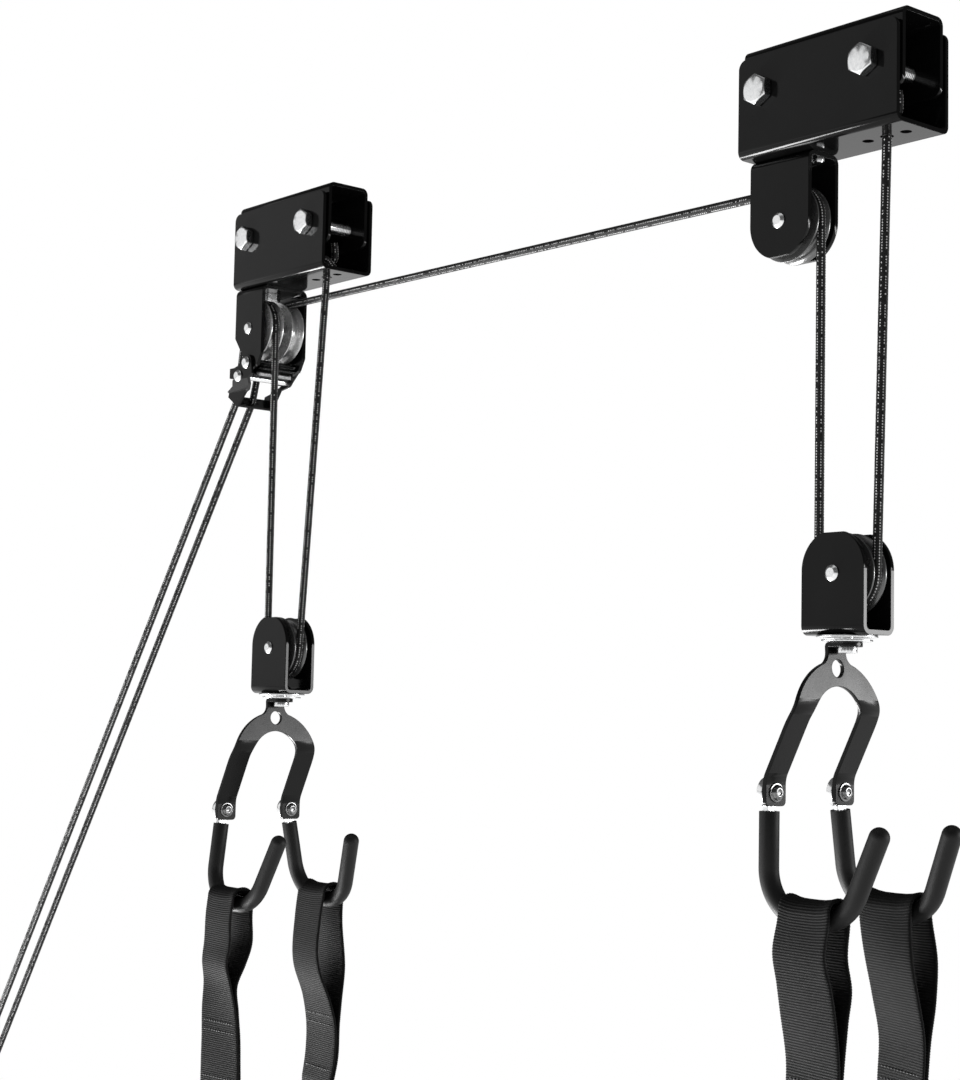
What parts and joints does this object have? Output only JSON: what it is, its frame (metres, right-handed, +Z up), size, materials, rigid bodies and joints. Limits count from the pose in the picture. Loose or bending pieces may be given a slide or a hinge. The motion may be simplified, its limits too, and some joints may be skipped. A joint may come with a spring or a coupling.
{
  "type": "rope and pulley hoist",
  "caption": "Ceiling rope hoist: two channel brackets, pulleys, a rope lock and lower blocks, with inverted-U gambrel hangers, coated hooks and webbing slings.",
  "frame": {"origin": "on the ceiling plane, midway between the two brackets and in their middle plane", "axes": "+X towards the single-sheave bracket, +Y to the rear (bolt nuts), +Z up"},
  "size_m": [1.3989, 0.1042, 1.1927],
  "materials": {
    "black_steel": "gloss black powder coat",
    "zinc": "bright zinc plate",
    "sheave": "polished grey",
    "rope": "braided cord with pale flecks",
    "webbing": "ribbed woven webbing",
    "soft_coating": "matte dipped vinyl"
  },
  "bodies": {
    "ceiling_brackets": {"right_inner_channel": "black_steel", "left_inner_channel": "black_steel", "right_outer_channel": "black_steel", "left_outer_channel": "black_steel", "right_anchor_knot": "rope", "left_anchor_knot": "rope", "clamp_bolts": "zinc", "clamp_nuts": "zinc", "right_housing": "black_steel", "left_housing": "black_steel", "right_housing_rivets": "zinc", "left_housing_bolt": "zinc", "left_sheave_spacer": "zinc", "right_upper_axle": "zinc", "left_upper_axle": "zinc", "lock_pin": "zinc", "upper_ropes": "rope", "right_rope_falls": "rope", "left_rope_falls": "rope"},
    "right_upper_sheave": {"right_upper_sheave": "sheave"},
    "left_front_sheave": {"left_front_sheave": "sheave"},
    "left_rear_sheave": {"left_rear_sheave": "sheave"},
    "right_block": {"right_block": "black_steel", "right_lower_axle": "zinc", "right_swivel_washers": "zinc", "right_lower_rope_wrap": "rope"},
    "right_lower_sheave": {"right_lower_sheave": "sheave"},
    "right_gambrel": {"right_gambrel": "black_steel", "right_swivel_rivet": "zinc", "right_hook_bolts": "zinc", "right_sling": "webbing"},
    "right_front_hook": {"right_front_hook_rod": "zinc", "right_front_hook_sleeve": "soft_coating", "right_front_strap_loop": "webbing"},
    "right_rear_hook": {"right_rear_hook_rod": "zinc", "right_rear_hook_sleeve": "soft_coating", "right_rear_strap_loop": "webbing"},
    "left_block": {"left_block": "black_steel", "left_lower_axle": "zinc", "left_swivel_washers": "zinc", "left_lower_rope_wrap": "rope"},
    "left_lower_sheave": {"left_lower_sheave": "sheave"},
    "left_gambrel": {"left_gambrel": "black_steel", "left_swivel_rivet": "zinc", "left_hook_bolts": "zinc", "left_sling": "webbing"},
    "left_front_hook": {"left_front_hook_rod": "zinc", "left_front_hook_sleeve": "soft_coating", "left_front_strap_loop": "webbing"},
    "left_rear_hook": {"left_rear_hook_rod": "zinc", "left_rear_hook_sleeve": "soft_coating", "left_rear_strap_loop": "webbing"},
    "lock_frame": {"lock_frame": "black_steel", "lock_frame_bolt": "zinc", "lock_ropes": "rope"},
    "lock_cam": {"lock_cam": "zinc"},
    "rear_pull_rope": {"rear_pull_rope": "rope", "rear_pull_rope_end": "rope"},
    "front_pull_rope": {"front_pull_rope": "rope", "front_pull_rope_end": "rope"}
  },
  "joints": [
    {"name": "right_lift", "type": "slide", "parent": "ceiling_brackets", "child": "right_block", "axis": [0, 0, 1], "range_m": [-0.36, 0.13], "deforming": ["right_rope_falls"]},
    {"name": "left_lift", "type": "slide", "parent": "ceiling_brackets", "child": "left_block", "axis": [0, 0, 1], "range_m": [-0.36, 0.13], "deforming": ["left_rope_falls"]},
    {"name": "right_upper_sheave_turn", "type": "hinge", "parent": "ceiling_brackets", "child": "right_upper_sheave", "pos_m": [0.24135, 0, -0.1097], "axis": [0, 1, 0], "continuous": true},
    {"name": "left_front_sheave_turn", "type": "hinge", "parent": "ceiling_brackets", "child": "left_front_sheave", "pos_m": [-0.31805, -0.01, -0.1031], "axis": [0, 1, 0], "continuous": true},
    {"name": "left_rear_sheave_turn", "type": "hinge", "parent": "ceiling_brackets", "child": "left_rear_sheave", "pos_m": [-0.31805, 0.01, -0.1031], "axis": [0, 1, 0], "continuous": true},
    {"name": "right_lower_sheave_turn", "type": "hinge", "parent": "right_block", "child": "right_lower_sheave", "pos_m": [0.28495, 0, -0.3265], "axis": [0, 1, 0], "continuous": true},
    {"name": "right_swivel", "type": "hinge", "parent": "right_block", "child": "right_gambrel", "pos_m": [0.28495, 0, -0.3677], "axis": [0, 0, 1], "continuous": true},
    {"name": "right_front_hook_swing", "type": "hinge", "parent": "right_gambrel", "child": "right_front_hook", "pos_m": [0.25335, -0.031, -0.4547], "axis": [-1, 0, 0], "range_deg": [-2, 30]},
    {"name": "right_rear_hook_swing", "type": "hinge", "parent": "right_gambrel", "child": "right_rear_hook", "pos_m": [0.25335, 0.031, -0.4547], "axis": [1, 0, 0], "range_deg": [-11, 21]},
    {"name": "left_lower_sheave_turn", "type": "hinge", "parent": "left_block", "child": "left_lower_sheave", "pos_m": [-0.2873, 0, -0.3617], "axis": [0, 1, 0], "continuous": true},
    {"name": "left_swivel", "type": "hinge", "parent": "left_block", "child": "left_gambrel", "pos_m": [-0.2873, 0, -0.4029], "axis": [0, 0, 1], "continuous": true},
    {"name": "left_front_hook_swing", "type": "hinge", "parent": "left_gambrel", "child": "left_front_hook", "pos_m": [-0.3189, -0.031, -0.4899], "axis": [-1, 0, 0], "range_deg": [-8.5, 23.5]},
    {"name": "left_rear_hook_swing", "type": "hinge", "parent": "left_gambrel", "child": "left_rear_hook", "pos_m": [-0.3189, 0.031, -0.4899], "axis": [1, 0, 0], "range_deg": [-14, 18]},
    {"name": "lock_swing", "type": "hinge", "parent": "ceiling_brackets", "child": "lock_frame", "pos_m": [-0.31605, 0, -0.1319], "axis": [0, -1, 0], "range_deg": [0, 30]},
    {"name": "lock_cam_turn", "type": "hinge", "parent": "ceiling_brackets", "child": "lock_cam", "pos_m": [-0.31605, 0, -0.1319], "axis": [0, -1, 0], "range_deg": [-20, 30]},
    {"name": "rear_pull", "type": "slide", "parent": "lock_frame", "child": "rear_pull_rope", "axis": [-0.5628, 0, -0.8266], "range_m": [-0.72, 0.26], "deforming": ["rear_pull_rope"]},
    {"name": "front_pull", "type": "slide", "parent": "lock_frame", "child": "front_pull_rope", "axis": [-0.5628, 0, -0.8266], "range_m": [-0.72, 0.26], "deforming": ["front_pull_rope"]}
  ],
  "couplings": [
    {"joint": "right_upper_sheave_turn", "follows": "right_lift", "rad_per_m": -91.743},
    {"joint": "left_front_sheave_turn", "follows": "left_lift", "rad_per_m": -91.743},
    {"joint": "left_rear_sheave_turn", "follows": "right_lift", "rad_per_m": -91.743},
    {"joint": "right_lower_sheave_turn", "follows": "right_lift", "rad_per_m": 45.872},
    {"joint": "left_lower_sheave_turn", "follows": "left_lift", "rad_per_m": 45.872},
    {"joint": "rear_pull", "follows": "right_lift", "ratio": 2},
    {"joint": "front_pull", "follows": "left_lift", "ratio": 2}
  ]
}
